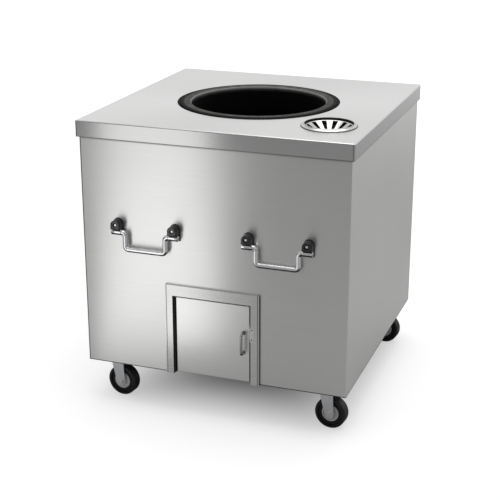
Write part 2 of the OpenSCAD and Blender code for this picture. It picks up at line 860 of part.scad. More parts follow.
module brackets(sx, sy) {
    color("silver")
    at_handle(sx, sy)
        for (s = SIDES) translate([s * bracket_span / 2, 0, 0]) bracket(-s);
}

// Bail: two pins in the barrels, two legs and a straight grip, hanging at rest
module bail(sx, sy) {
    end_x = (bracket_span - barrel_w) / 2 - 0.5;
    leg_x = end_x - bail_bend;
    color("whitesmoke")
    at_handle(sx, sy) translate([0, -pivot_y, 0]) {
        for (s = SIDES) {
            translate([s * (end_x - 1), 0, 0]) rotate([0, 90 * s, 0])
                cylinder(d = bail_pin_d, h = barrel_w - 3);
            translate([s * end_x, 0, -bail_bend])
                rotate([90, 0, 0])
                    rotate_extrude(angle = 90 * s, start = 90) translate([bail_bend, 0])
                        circle(d = bail_d);
            translate([s * leg_x, 0]) post(bail_d, bail_bend - bail_drop, -bail_bend);
            translate([s * (leg_x - bail_bend), 0, bail_bend - bail_drop])
                rotate([90, 0, 0])
                    rotate_extrude(angle = 90 * s, start = 270) translate([bail_bend, 0])
                        circle(d = bail_d);
        }
        translate([bail_bend - leg_x, 0, -bail_drop]) rotate([0, 90, 0])
            cylinder(d = bail_d, h = 2 * (leg_x - bail_bend));
    }
}

// Round-headed screws through the brackets and the casing, with nuts inside
module handle_screws() {
    color("white")
    at_brackets() translate([0, 0, screw_rise]) rotate([90, 0, 0]) {
        head_z = bracket_depth - screw_sink;
        post(screw_d, -sheet - 8, head_z + 1);
        intersection() {
            translate([0, 0, head_z - 4]) sphere(8);
            post(11, head_z, bracket_depth);
        }
        hex(10, -sheet - 5.5, -sheet - 0.5);
    }
}

// ---------- flue vent ----------

// Profile of a dish: cone from its outer edge down to its flat middle, from z down by t
module dish_profile(z, t) {
    polygon([[0, z - dish_depth], [dish_in, z - dish_depth], [dish_out, z],
             [dish_out, z - t], [dish_in, z - dish_depth - t], [0, z - dish_depth - t]]);
}

// Wedge-shaped slots through a dish
module vent_cut(turn) {
    half = slot_angle / 2;
    for (i = [0 : vent_slots - 1])
        rotate(turn + i * 360 / vent_slots)
            translate([0, 0, dish_z - dish_depth - 10])
                linear_extrude(dish_depth + 20)
                    intersection() {
                        difference() {
                            circle(slot_out);
                            circle(slot_in);
                        }
                        polygon([[0, 0], [100 * cos(half), -100 * sin(half)],
                                 [100 * cos(half), 100 * sin(half)]]);
                    }
}

// Collar with a rolled lip, a sleeve through the worktop and the fixed slotted seat
module vent_collar() {
    r_in = vent_id / 2;
    r_out = vent_od / 2;
    lip = 4;
    seat_z = dish_z - vent_t - lay_gap;
    color("lightgray")
    difference() {
        translate([vent_x, -vent_y]) {
            rotate_extrude($fn = 96) {
                // flange, sloping up to the lip
                polygon([[r_out, top_h], [r_out, top_h + 1], [r_in + lip, top_h + vent_lip - lip],
                         [r_in, top_h + vent_lip - lip], [r_in, top_h]]);
                translate([r_in + lip / 2, top_h + vent_lip - lip])
                    circle(lip / 2);
                translate([r_in, top_h + vent_lip - lip - 1]) square([lip, 1]);
                translate([r_in, under_z - 12]) square([vent_t, 12 + sheet + 1]);
            }
            rotate_extrude($fn = 96) {
                dish_profile(seat_z, vent_t);
                translate([dish_out, seat_z - vent_t]) square([r_in + vent_t - dish_out, vent_t]);
            }
        }
        translate([vent_x, -vent_y]) {
            vent_cut(vent_set);
            post(6, dish_z - dish_depth - 10, top_h);
        }
    }
}

// Turning dish with the same slots; it shuts the vent as it turns by half a pitch
module vent_dish() {
    color("lightgray")
    translate([vent_x, -vent_y])
        difference() {
            rotate_extrude($fn = 96) dish_profile(dish_z, vent_t);
            vent_cut(vent_set);
            post(6 + 2 * run_gap, dish_z - dish_depth - 10, top_h);
        }
}

// Rivet that the dish turns on
module vent_rivet() {
    z = dish_z - dish_depth;
    color("silver")
    translate([vent_x, -vent_y]) {
        post(6, z - 2 * vent_t - lay_gap - 1, z + 1);
        post(14, z - 2 * vent_t - lay_gap - 3, z - 2 * vent_t - lay_gap);
        intersection() {
            translate([0, 0, z - 5]) sphere(8.5);
            post(20, z + lay_gap / 3, z + 10);
        }
    }
}

// Lining of the vent's shaft through the insulation
module vent_duct() {
    color("gray")
    translate([vent_x, -vent_y])
        difference() {
            post(vent_id + 2 * vent_t, under_z - duct_h, under_z - 12 - lay_gap);
            post(vent_id, under_z - duct_h + vent_t, under_z);
        }
}

// ---------- casters ----------

// Places its children at each caster's swivel axis
module at_casters() {
    for (c = CORNERS)
        translate([c[0] * caster_x, c[1] * caster_y, 0]) children();
}

// Places its children at one caster, turned to the way that it trails along +X
module at_caster(sx, sy) {
    translate([sx * caster_x, sy * caster_y, 0]) rotate(trail_dir) children();
}

// Top plate with the upper half of the swivel race pressed into it
module top_plate(sx, sy) {
    z0 = caster_h - plate_t;
    color("silver")
    translate([sx * caster_x, sy * caster_y, 0])
        difference() {
            union() {
                translate([0, 0, z0]) linear_extrude(plate_t) round_rect(plate_l, plate_w, 8);
                rotate_extrude()
                    polygon([[0, z0 + 1], [0, race_z + 4], [race_d / 2 - 7, race_z + 4],
                             [race_d / 2 - 5, race_z], [race_d / 2, race_z],
                             [race_d / 2, race_z + 2], [race_d / 2 - 3, z0], [race_d / 2 - 3, z0 + 1]]);
            }
            post(kingpin_d + 2 * run_gap, race_z - 1, caster_h + 1);
            for (x = SIDES, y = SIDES)
                translate([x * bolt_x / 2, y * bolt_y / 2])
                    post(bolt_d + hole_gap, z0 - 1, caster_h + 1);
        }
}

// Bolts with washers under the top plates and nuts on the gussets
module caster_bolts() {
    z0 = caster_h - plate_t;
    color("silver")
    at_casters()
        for (x = SIDES, y = SIDES)
            translate([x * bolt_x / 2, y * bolt_y / 2]) {
                hex(13, z0 - 5.5, z0);
                post(bolt_d, z0 - 2, floor_z + nut_h + 2);
                hex(13, floor_z, floor_z + nut_h);
            }
}

// Outline of a fork cheek: from the crown's edge down to a round end at the axle
module cheek_outline() {
    eye = 15;
    h = fork_top - axle_z;
    front_lean = atan2(trail + eye - cheek_w / 2, h);
    rear_lean = atan2(trail + cheek_w / 2 - eye, h);
    circle(eye);
    polygon([[eye * cos(front_lean), eye * sin(front_lean)], [cheek_w / 2 - trail, h],
             [-cheek_w / 2 - trail, h], [-eye * cos(rear_lean), -eye * sin(rear_lean)]]);
}

// Pressed fork: round crown, two tapered cheeks and the kingpin
module fork(sx, sy) {
    crown_d = race_d - 6;
    color("silver")
    at_caster(sx, sy)
        difference() {
            union() {
                post(crown_d, fork_top - fork_t, fork_top);
                slab(crown_d - 4, 2 * (cheek_in + fork_t), fork_top - fork_t, fork_top);
                for (s = SIDES)
                    translate([trail, s * (cheek_in + fork_t / 2), axle_z])
                        rotate([90, 0, 0]) linear_extrude(fork_t, center = true) cheek_outline();
                post(kingpin_d, fork_top - 1, caster_h + 2);
                post(kingpin_d + 7, caster_h + lay_gap, caster_h + 3);
            }
            translate([trail, 0, axle_z]) rotate([90, 0, 0])
                cylinder(d = axle_d + 2 * run_gap, h = 100, center = true);
        }
}

// Axle bolt across the fork, with its head and nut
module axle(sx, sy) {
    out = cheek_in + fork_t;
    color("silver")
    at_caster(sx, sy) translate([trail, 0, axle_z]) rotate([90, 0, 0]) {
        post(axle_d, -out - nut_h - 1.5, out + 1);
        hex(16, out, out + 5.5);
        post(19, out, out + 1);
        hex(16, -out - nut_h, -out);
        post(19, -out - 1, -out);
    }
}

// Moulded wheel core: hub and raised rim ring, bored for the axle
module wheel_core(sx, sy) {
    hub = cheek_in - 0.5;
    bore = axle_d / 2 + run_gap;
    dish = side_w - 4;
    rim = side_w + 2;
    r = core_d / 2;
    color("gainsboro")
    at_caster(sx, sy) translate([trail, 0, axle_z]) rotate([90, 0, 0])
        rotate_extrude()
            polygon([[bore, -hub], [11, -hub], [12, 1 - hub], [14, -dish], [r - 5, -dish],
                     [r - 4, -rim], [r, -rim], [r, rim], [r - 4, rim], [r - 5, dish],
                     [14, dish], [12, hub - 1], [11, hub], [bore, hub]]);
}

// Rubber tyre: recessed sides round the core, a step, and a tread with round shoulders
module tyre(sx, sy) {
    r = wheel_d / 2;
    w = tyre_w / 2;
    shoulder = 5;
    in_r = core_d / 2 + lay_gap / 3;
    step_r = r - 11;
    color([0.08, 0.08, 0.08])
    at_caster(sx, sy) translate([trail, 0, axle_z]) rotate([90, 0, 0])
        rotate_extrude() {
            translate([in_r, -side_w]) square([step_r - in_r + 2, 2 * side_w]);
            polygon([[step_r, 1 - side_w], [step_r + 1.5, -w], [r - shoulder, -w],
                     [r - shoulder, w], [step_r + 1.5, w], [step_r, side_w - 1]]);
            translate([r - shoulder - 1, -w + shoulder])
                square([shoulder + 1, tyre_w - 2 * shoulder]);
            for (s = SIDES)
                translate([r - shoulder, s * (w - shoulder)]) circle(shoulder);
        }
}

// ---------- nodes ----------

worktop();
casing_wrap();
back_panel();
inner_frame();
base_plate();
hearth_block();
clay_pot();
insulation();
fire_tunnel();
charcoal_grate();
ash_pan();
door_frame();
strike_plate();
strike_screws();
hinge_frame_leaf();
hinge_pin();
hinge_door_leaf();
door_panel();
door_insulation();
door_liner();
liner_rivets();
door_pull();
bullet_catch();
vent_collar();
vent_dish();
vent_rivet();
vent_duct();
handle_screws();
caster_bolts();
brackets(-1, -1);  // brackets_fl
brackets(1, -1);  // brackets_fr
brackets(-1, 1);  // brackets_bl
brackets(1, 1);  // brackets_br
bail(-1, -1);  // bail_fl
bail(1, -1);  // bail_fr
bail(-1, 1);  // bail_bl
bail(1, 1);  // bail_br
top_plate(-1, -1);  // top_plate_fl
top_plate(1, -1);  // top_plate_fr
top_plate(-1, 1);  // top_plate_bl
top_plate(1, 1);  // top_plate_br
fork(-1, -1);  // fork_fl
fork(1, -1);  // fork_fr
fork(-1, 1);  // fork_bl
fork(1, 1);  // fork_br
axle(-1, -1);  // axle_fl
axle(1, -1);  // axle_fr
axle(-1, 1);  // axle_bl
axle(1, 1);  // axle_br
wheel_core(-1, -1);  // wheel_core_fl
wheel_core(1, -1);  // wheel_core_fr
wheel_core(-1, 1);  // wheel_core_bl
wheel_core(1, 1);  // wheel_core_br
tyre(-1, -1);  // tyre_fl
tyre(1, -1);  // tyre_fr
tyre(-1, 1);  // tyre_bl
tyre(1, 1);  // tyre_br
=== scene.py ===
# Mobile clay tandoor oven in its brushed stainless cabinet, on swivel casters.
import math
import bpy
import bmesh
from mathutils import Matrix, Vector


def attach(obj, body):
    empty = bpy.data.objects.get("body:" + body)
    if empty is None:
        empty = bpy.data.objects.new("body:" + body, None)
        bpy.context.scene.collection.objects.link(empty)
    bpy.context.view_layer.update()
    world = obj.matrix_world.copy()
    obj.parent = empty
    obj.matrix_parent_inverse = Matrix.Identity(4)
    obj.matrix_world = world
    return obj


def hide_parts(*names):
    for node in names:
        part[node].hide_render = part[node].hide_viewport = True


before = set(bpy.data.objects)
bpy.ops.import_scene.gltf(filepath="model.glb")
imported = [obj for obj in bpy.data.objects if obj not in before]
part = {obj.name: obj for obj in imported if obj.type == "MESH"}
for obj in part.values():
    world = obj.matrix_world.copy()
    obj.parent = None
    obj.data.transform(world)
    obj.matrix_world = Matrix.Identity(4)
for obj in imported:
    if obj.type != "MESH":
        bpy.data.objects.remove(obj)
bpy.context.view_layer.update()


# ---------- Camera, floor and studio light ----------
# The oven is seen from its right-hand front corner, from a little above the worktop.
# It stands on a white sweep, under one large soft box and beside a tall strip light.

eye = Vector((1.254, -3.613, 1.763))
turn, dip = math.radians(19.56), math.radians(19.4)
camera = bpy.data.objects.new("camera", bpy.data.cameras.new("camera"))
bpy.context.scene.collection.objects.link(camera)
camera.location = eye
camera.rotation_euler = (math.pi / 2 - dip, 0, turn)
camera.data.lens = 87.76
camera.data.sensor_width = 36
camera.data.clip_end = 60
bpy.context.scene.camera = camera


def soft_box(name, place, aim, wide, tall, watts):
    lamp = bpy.data.lights.new(name, "AREA")
    lamp.shape, lamp.size, lamp.size_y, lamp.energy = "RECTANGLE", wide, tall, watts
    lamp_object = bpy.data.objects.new(name, lamp)
    bpy.context.scene.collection.objects.link(lamp_object)
    lamp_object.location = place
    lamp_object.rotation_euler = (Vector(place) - Vector(aim)).to_track_quat("Z", "Y").to_euler()


soft_box("overhead_box", place=(0.3, 0.3, 4.2), aim=(0, 0, 0.5), wide=3.4, tall=3.4, watts=85)
soft_box("leaning_strip", place=(-0.625, -1.424, 0.568), aim=(-0.201, -0.507, 1.781),
         wide=0.43, tall=1.68, watts=2.2)


class Val:
    """A value that varies over a surface, or from ray to ray. Arithmetic adds Math nodes."""

    def __init__(self, web, socket):
        self.web, self.socket = web, socket

    def math(self, operation, *others):
        return self.web.node("ShaderNodeMath", {"operation": operation},
                             dict(enumerate((self,) + others)))

    def __add__(self, other): return self.math("ADD", other)
    __radd__ = __add__
    def __mul__(self, other): return self.math("MULTIPLY", other)
    __rmul__ = __mul__
    def __sub__(self, other): return self.math("SUBTRACT", other)
    def __rsub__(self, other): return (self * -1) + other
    def __gt__(self, other): return self.math("GREATER_THAN", other)
    def __lt__(self, other): return self.math("LESS_THAN", other)
    def __abs__(self): return self.math("ABSOLUTE")
    def __pow__(self, other): return self.math("POWER", other)
    def least(self, other): return self.math("MINIMUM", other)


class Web:
    """A node tree of a material or of the world, whose nodes are added as Vals."""

    def __init__(self, owner):
        owner.use_nodes = True
        self.tree = owner.node_tree

    def node(self, kind, settings=None, sockets=None, outputs=None):
        """Adds a node, and returns its first output, or the outputs asked for by name."""
        made = self.tree.nodes.new(kind)
        for key, value in (settings or {}).items():
            if key == "stops":
                while len(made.color_ramp.elements) < len(value):
                    made.color_ramp.elements.new(0.5)
                for stop, (at, colour) in zip(made.color_ramp.elements, value):
                    stop.position, stop.color = at, (*colour, 1)
            else:
                setattr(made, key, value)
        for key, value in (sockets or {}).items():
            if isinstance(value, Val):
                self.tree.links.new(value.socket, made.inputs[key])
            else:
                made.inputs[key].default_value = value
        if outputs:
            return {name: Val(self, made.outputs[name]) for name in outputs}
        return Val(self, made.outputs[0]) if made.outputs else None

    def parts(self, vector):
        split = self.node("ShaderNodeSeparateXYZ", None, {0: vector}, ["X", "Y", "Z"])
        return split["X"], split["Y"], split["Z"]

    def join(self, x, y, z):
        return self.node("ShaderNodeCombineXYZ", None, {0: x, 1: y, 2: z})

    def band(self, value, low, high, least=0, most=1):
        """The least up to low and the most from high on, smooth between them."""
        return self.node("ShaderNodeMapRange", {"interpolation_type": "SMOOTHSTEP"},
                         {"Value": value, "From Min": low, "From Max": high, "To Min": least,
                          "To Max": most})


def seen_and_mirrored(web):
    """Masks of the rays from the camera, and of those that metal mirrors or glass lets through."""
    rays = web.node("ShaderNodeLightPath",
                    outputs=["Is Camera Ray", "Is Glossy Ray", "Is Transmission Ray"])
    return rays["Is Camera Ray"], rays["Is Glossy Ray"] + rays["Is Transmission Ray"]


# The room is grey to what it lights, and white to the camera and behind the oven in mirrors.
world = bpy.data.worlds.new("white_studio")
bpy.context.scene.world = world
sky = Web(world)
sky.tree.nodes.clear()
_, heading_y, heading_z = sky.parts(
    sky.node("ShaderNodeTexCoord", outputs=["Generated"])["Generated"])
seen, mirrored = seen_and_mirrored(sky)
ceiling = sky.node("ShaderNodeMapRange", None,
                   {"Value": heading_z, "To Min": 0.20, "To Max": 0.60})
room = sky.node("ShaderNodeBackground", None, {"Color": ceiling})
page = sky.node("ShaderNodeBackground", None, {"Color": (1, 1, 1, 1)})
sky.node("ShaderNodeOutputWorld", None, {0: sky.node("ShaderNodeMixShader", None, {
    0: mirrored * sky.band(heading_y, -0.2, 0.8) + seen, 1: room, 2: page})})

bpy.ops.object.select_all(action="DESELECT")
bpy.ops.mesh.primitive_plane_add(size=60, location=(0, 0, 0))
floor = bpy.context.object
floor.name = "floor"
paper = bpy.data.materials.new("floor_paper")
sweep = Web(paper)
sweep.tree.nodes.clear()
x, y, _ = sweep.parts(sweep.node("ShaderNodeTexCoord", outputs=["Object"])["Object"])
seen, mirrored = seen_and_mirrored(sweep)
outward = abs(x).math("SMOOTH_MAX", abs(y), 0.2)
# The glow is painted weak in a soft square under the cabinet, a painted shadow that keeps the
# shade there dark. It grows far off, where the soft box no longer reaches, so that the sweep stays
# white.
glow_with_painted_shadow = sweep.band(outward, 0.08, 0.50, 0.06, 0.65)
far_off = sweep.band(outward, 1.5, 6.0, 0, 0.35)
behind_it = sweep.band(y, 2.2, 7.0, 0, 0.85)
strength = (mirrored * behind_it + seen) * glow_with_painted_shadow + seen * far_off
matt = sweep.node("ShaderNodeBsdfDiffuse", None, {"Color": (0.52, 0.52, 0.52, 1)})
glow = sweep.node("ShaderNodeEmission", None, {"Strength": strength})
sweep.node("ShaderNodeOutputMaterial", None, {
    0: sweep.node("ShaderNodeAddShader", None, {0: matt, 1: glow})})
floor.data.materials.append(paper)
bpy.context.scene.view_settings.view_transform = "Standard"


# ---------- Casing and back panel ----------
# One stainless sheet is folded round the front and both sides, and a flat sheet closes the back.
# The sheets keep the mill's long, level brush lines, and painted shade darkens them along their
# lower edge, under the hem and down the folds.

class Finish(Web):
    """A material whose shader is built up from Vals."""

    def __init__(self, name, **fixed):
        self.material = bpy.data.materials.new(name)
        super().__init__(self.material)
        self.shader = self.tree.nodes["Principled BSDF"]
        for socket, value in fixed.items():
            self.shader.inputs[socket.replace("_", " ")].default_value = value
        spot = self.node("ShaderNodeTexCoord", outputs=["Object", "Normal"])
        self.spot, self.facing = spot["Object"], spot["Normal"]

    def noise(self, scale, detail, rough, at=None):
        return self.node("ShaderNodeTexNoise", None,
                         {"Vector": at or self.spot, "Scale": scale, "Detail": detail,
                          "Roughness": rough})

    def blend(self, share, first, second, how="MIX"):
        """The first tone at a share of 0, and the second at 1."""
        first, second = (tone if isinstance(tone, Val) else (*tone, 1) for tone in (first, second))
        return self.node("ShaderNodeMix", {"data_type": "RGBA", "blend_type": how},
                         {0: share, 6: first, 7: second}, [2])[2]

    def shaded(self, tone, shade):
        """A tone made lighter or darker by a shade round 1."""
        return self.blend(1.0, tone, self.join(shade, shade, shade), "MULTIPLY")

    def bump(self, height, distance, strength):
        return self.node("ShaderNodeBump", None,
                         {"Height": height, "Distance": distance, "Strength": strength})

    def wear(self, **varying):
        for socket, value in varying.items():
            self.tree.links.new(value.socket, self.shader.inputs[socket.replace("_", " ")])
        return self.material


def coat(material, *names):
    """Gives CAD pieces one material."""
    for name in names:
        slots = part[name].data.materials
        slots.clear()
        slots.append(material)


# Near black, painted where shade falls, and used for the worktop's weld lines.
shade_and_weld_black = (0.012, 0.012, 0.012)


def brushed(name, tone, rough, painted_shade_and_welds, **fixed):
    """Stainless sheet brushed level: along X on the front, back and top, along Y on the sides.

    The last argument gives, from a place and a normal, where the sheet is painted dark: painted
    shade, and on the worktop also its weld lines.
    """
    steel = Finish(name, Metallic=1.0, **fixed)
    x, y, z = steel.parts(steel.spot)
    nx, ny, nz = steel.parts(steel.facing)
    side = abs(nx) > 0.7
    top = abs(nz) > 0.7
    along = x * (1 - side) + y * side
    across = z * (1 - top) + y * top
    lines = steel.noise(1.0, 4, 0.6, steel.join(along * 9, across * 900, 0.0))
    streaks = steel.noise(1.0, 3, 0.5, steel.join(along * 2.2, across * 130, 3.0))
    clouds = steel.noise(2.3, 3, 0.55)
    scratch = steel.noise(1.0, 2, 0.4, steel.join(along * 14, across * 2600, 7.0)) > 0.70
    shade = 0.97 + (lines - 0.5) * 0.10 + (streaks - 0.5) * 0.06 + (clouds - 0.5) * 0.05
    shade = shade + scratch * 0.03
    rgb = steel.shaded(tone, shade)
    gloss = rough + (lines - 0.5) * 0.10 + (clouds - 0.5) * 0.10
    relief = steel.bump(lines * 0.7 + streaks * 0.3, 0.00006, 0.5)
    # Painted shade, and on the worktop also its weld lines, darken the sheet here.
    shade_and_welds = painted_shade_and_welds(steel, (x, y, z), (nx, ny, nz))
    return steel.wear(Base_Color=steel.blend(shade_and_welds, rgb, shade_and_weld_black),
                      Roughness=gloss + shade_and_welds * 0.3, Normal=relief)


casing_half, casing_z, hem_z = 0.424, 0.138, 0.870
level_brush = {"Anisotropic": 0.8, "Anisotropic_Rotation": 0.25}


def casing_painted_shade(steel, at, up):
    """Painted shade: dark along the bottom edge, under the worktop's hem and down every fold but
    the one at the right of the fire door, which is left bright."""
    x, y, z = at
    hem = steel.band(z, hem_z - 0.008, hem_z - 0.0005) * 0.55
    foot = (1 - steel.band(z, casing_z + 0.0020, casing_z + 0.0035)) * 0.85
    corner = abs(x).least(abs(y))
    fold = steel.band(corner, casing_half - 0.0054, casing_half - 0.0036)
    fold = fold * (1 - (x > 0) * (y < 0)) * 0.8
    return hem + foot * (1 - hem) + fold * (1 - foot) * (1 - hem)


casing_steel = brushed("brushed_casing", (0.75, 0.75, 0.74), 0.33, casing_painted_shade, **level_brush)
coat(casing_steel, "casing_wrap", "back_panel")


# ---------- Worktop ----------
# A folded stainless tray, welded and ground flush at its corners, with a collar round the mouth.
# It is brushed from side to side. A dark line is painted under its hem as shade, and at its
# right-hand corners the weld lines stop short of the edge.

worktop_half = 0.432


def worktop_shade_and_welds(steel, at, up):
    """A dark line is painted along the apron's lower edge as the hem's shade, and dark lines mark
    the welds down its corners.
    """
    x, y, z = at
    hem = (1 - steel.band(z, hem_z + 0.0008, hem_z + 0.0022)) * 0.7
    corner = abs(x).least(abs(y))
    edge = steel.band(corner, worktop_half - 0.0036, worktop_half - 0.0026)
    weld = steel.band(corner, worktop_half - 0.0062, worktop_half - 0.0044)
    weld = weld * (1 - edge * (x > 0)) * (abs(up[2]) < 0.5)
    return hem + (1 - hem) * weld * 0.65


worktop_steel = brushed("brushed_worktop", (0.615, 0.615, 0.61), 0.22, worktop_shade_and_welds,
                        **level_brush)
coat(worktop_steel, "worktop")


# ---------- Clay pot ----------
# The tandoor itself is coarse fired clay with grog and ash grains, thrown in coils.
# Its inner lip is painted light as a highlight, its inside below the lip is painted near black as
# shade, and the outer band of its rim is near black.

mouth_r, rim_r, rim_z = 0.215, 0.251, 0.923
clay = Finish("fired_clay", Roughness=0.9, Specular_IOR_Level=0.12)
x, y, z = clay.parts(clay.spot)
grog = clay.noise(420, 2, 0.6)
mottle = clay.noise(38, 5, 0.65)
patches = clay.noise(9, 3, 0.6)
# Below the lip the inside is painted near black, as shade deep in the pot.
above_shade = clay.band(z, rim_z - 0.019, rim_z - 0.005)
clay_rgb = clay.node("ShaderNodeValToRGB", {"stops": [
    (0.30, (0.018, 0.018, 0.018)), (0.48, (0.065, 0.064, 0.062)), (0.66, (0.16, 0.155, 0.15))]},
    {0: mottle * 0.45 + grog * 0.40 + patches * 0.15})
from_axis = (x * x + y * y) ** 0.5
# A light band round the inner edge of the lip is a painted highlight.
lip_highlight = (1 - clay.band(from_axis, mouth_r + 0.0005, mouth_r + 0.0045)) * clay.band(
    z, rim_z - 0.011, rim_z - 0.005)
clay_rgb = clay.blend(lip_highlight * 0.8, clay_rgb, (0.36, 0.35, 0.34))
# The rim's outer band is made near black, with a ragged inner edge.
dark_rim_band = clay.band(from_axis + (mottle - 0.5) * 0.012, rim_r - 0.0165, rim_r - 0.0085)
clay_rgb = clay.blend(dark_rim_band * 0.9, clay_rgb, (0.006, 0.006, 0.006))
clay_rgb = clay.blend(above_shade, (0.0025, 0.0025, 0.0025), clay_rgb)
clay_relief = clay.bump(mottle * 0.6 + grog * 0.4, 0.0012, 0.8)
coat(clay.wear(Base_Color=clay_rgb, Normal=clay_relief), "clay_pot")

cement = Finish("black_fire_cement", Roughness=0.9, Specular_IOR_Level=0.1)
cement_lumps = cement.noise(95, 4, 0.6)
cement_rgb = cement.blend(cement_lumps, (0.006, 0.006, 0.006), (0.030, 0.029, 0.028))
cement_black = cement.wear(Base_Color=cement_rgb,
                           Normal=cement.bump(cement_lumps, 0.0015, 0.9))


def begin(add, **place):
    """Adds one primitive by itself and opens it in edit mode."""
    bpy.ops.object.select_all(action="DESELECT")
    add(**place)
    bpy.ops.object.mode_set(mode="EDIT")
    bpy.ops.mesh.select_mode(type="FACE")
    return bpy.context.object


def pick(piece, test, kind="faces"):
    """Selects only the faces, edges or points whose middle (and normal) pass the test."""
    bpy.ops.mesh.select_all(action="DESELECT")
    bpy.ops.mesh.select_mode(type={"faces": "FACE", "edges": "EDGE", "verts": "VERT"}[kind])
    shape = bmesh.from_edit_mesh(piece.data)
    shape.normal_update()
    for item in getattr(shape, kind):
        if kind == "faces":
            chosen = test(item.calc_center_median(), item.normal)
        elif kind == "edges":
            chosen = test((item.verts[0].co + item.verts[1].co) / 2, item)
        else:
            chosen = test(item.co, item.normal)
        if chosen:
            item.select_set(True)
    shape.select_flush_mode()
    bmesh.update_edit_mesh(piece.data)


def close_up(piece, name, material, angle=35):
    """Leaves edit mode with clean, outward, smooth faces, and names and coats the piece."""
    bpy.ops.mesh.select_all(action="SELECT")
    bpy.ops.mesh.remove_doubles(threshold=0.00001)
    bpy.ops.mesh.normals_make_consistent(inside=False)
    bpy.ops.object.mode_set(mode="OBJECT")
    bpy.ops.object.transform_apply(location=True, rotation=True, scale=True)
    bpy.ops.object.shade_smooth_by_angle(angle=math.radians(angle))
    piece.name = piece.data.name = name
    piece.data.materials.clear()
    piece.data.materials.append(material)
    return piece


# Black fire cement is trowelled into the gap between the rim and the worktop's collar, and
# struck off flat on top.
joint_r, joint_z, joint_flat = 0.2550, 0.9155, 0.0022
joint = begin(bpy.ops.mesh.primitive_torus_add, location=(0, 0, joint_z), major_segments=240,
              minor_segments=14, major_radius=joint_r, minor_radius=0.0037)
pick(joint, lambda at, up: at.z > joint_flat, "verts")
bpy.ops.transform.resize(value=(1, 1, 0.25), center_override=(0, 0, joint_z + joint_flat))
bpy.ops.mesh.select_all(action="SELECT")
bpy.ops.transform.vertex_random(offset=0.0003, seed=5)
close_up(joint, "cement_joint", cement_black, 60)
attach(joint, "cabinet")


# ---------- Hearth, grate, ash pan and fire tunnel ----------
# Under the pot lie a cast refractory block and a cast-iron grate. The tunnel, the pan and the
# base plate are mild steel, scaled and sooted by the fire; the angle-iron frame is painted,
# and ceramic wool is packed round the pot.

refractory = Finish("refractory_cement", Roughness=0.95)
grains = refractory.noise(160, 4, 0.7)
stains = refractory.noise(7, 4, 0.6)
block_rgb = refractory.node("ShaderNodeValToRGB", {"stops": [
    (0.25, (0.16, 0.13, 0.10)), (0.55, (0.40, 0.34, 0.27)), (0.80, (0.52, 0.46, 0.38))]},
    {0: grains * 0.5 + stains * 0.5})
coat(refractory.wear(Base_Color=block_rgb, Normal=refractory.bump(grains, 0.001, 0.8)),
     "hearth_block")

iron = Finish("cast_iron", Metallic=0.9)
sand = iron.noise(520, 3, 0.6)
rust = iron.band(iron.noise(30, 4, 0.7), 0.52, 0.72)
iron_rgb = iron.blend(rust * 0.7, (0.07, 0.07, 0.072), (0.16, 0.07, 0.035))
coat(iron.wear(Base_Color=iron_rgb, Roughness=0.55 + sand * 0.3,
               Normal=iron.bump(sand, 0.0008, 0.8)), "charcoal_grate")

sooted = Finish("sooted_steel", Metallic=1.0)
scale = sooted.noise(60, 5, 0.7)
heat = sooted.noise(6, 3, 0.6)
sooted_rgb = sooted.node("ShaderNodeValToRGB", {"stops": [
    (0.30, (0.12, 0.11, 0.11)), (0.55, (0.30, 0.28, 0.26)), (0.80, (0.42, 0.41, 0.40))]},
    {0: scale * 0.5 + heat * 0.5})
coat(sooted.wear(Base_Color=sooted_rgb, Roughness=0.4 + scale * 0.35,
                 Normal=sooted.bump(scale, 0.0003, 0.6)),
     "fire_tunnel", "ash_pan", "door_liner", "base_plate", "vent_duct")

paint = Finish("frame_paint", Coat_Weight=0.1, Coat_Roughness=0.4)
peel = paint.noise(260, 3, 0.5)
dust = paint.band(paint.noise(11, 4, 0.6), 0.45, 0.75)
paint_rgb = paint.blend(dust * 0.5, (0.045, 0.047, 0.05), (0.14, 0.135, 0.13))
coat(paint.wear(Base_Color=paint_rgb, Roughness=0.5 + dust * 0.3,
                Normal=paint.bump(peel, 0.0003, 0.5)), "inner_frame")

wool = Finish("ceramic_wool", Roughness=1.0, Sheen_Weight=0.3)
fibre = wool.noise(90, 6, 0.75)
wool_rgb = wool.blend(fibre, (0.62, 0.57, 0.42), (0.90, 0.87, 0.74))
coat(wool.wear(Base_Color=wool_rgb, Normal=wool.bump(fibre, 0.004, 1.0)),
     "insulation", "door_insulation")


# ---------- Fire door, frame and piano hinge ----------
# The door is a folded pan on a full-length piano hinge, inside a raised, mitred frame.
# The hinge, the door's upper and left folds and the frame's returns are painted black, as shade in
# the gap round the door.

opening_half, opening_z, frame_half = 0.126, 0.398, 0.152


def frame_painted_shade(steel, at, up):
    """Painted shade: the returns towards the door are black, and dark lines are painted along the
    outer bead and down the frame's outer side walls.
    """
    out, z = abs(at[0]), at[2]
    inside = (1 - steel.band(out, opening_half + 0.0002, opening_half + 0.0008)) * (
        1 - steel.band(z, opening_z + 0.0002, opening_z + 0.0008))
    bead = steel.band(out, frame_half - 0.0058, frame_half - 0.0052) * (
        1 - steel.band(out, frame_half - 0.0034, frame_half - 0.0028))
    outer = (abs(up[0]) > 0.7) * steel.band(out, frame_half - 0.0005, frame_half - 0.0002)
    return inside * 0.9 + (1 - inside) * (bead * 0.7 * (1 - outer) + outer * 0.8)


def door_painted_shade(steel, at, up):
    """The door's folded upper and left edges are painted black, as shade in the gap round it."""
    return 0.95 * (1 - (1 - (up[2] > 0.9)) * (1 - (up[0] < -0.9)))


frame_steel = brushed("brushed_frame", (0.70, 0.70, 0.69), 0.27, frame_painted_shade)
door_steel = brushed("brushed_door", (0.77, 0.77, 0.76), 0.30, door_painted_shade)
coat(frame_steel, "door_frame")
coat(door_steel, "door_panel")


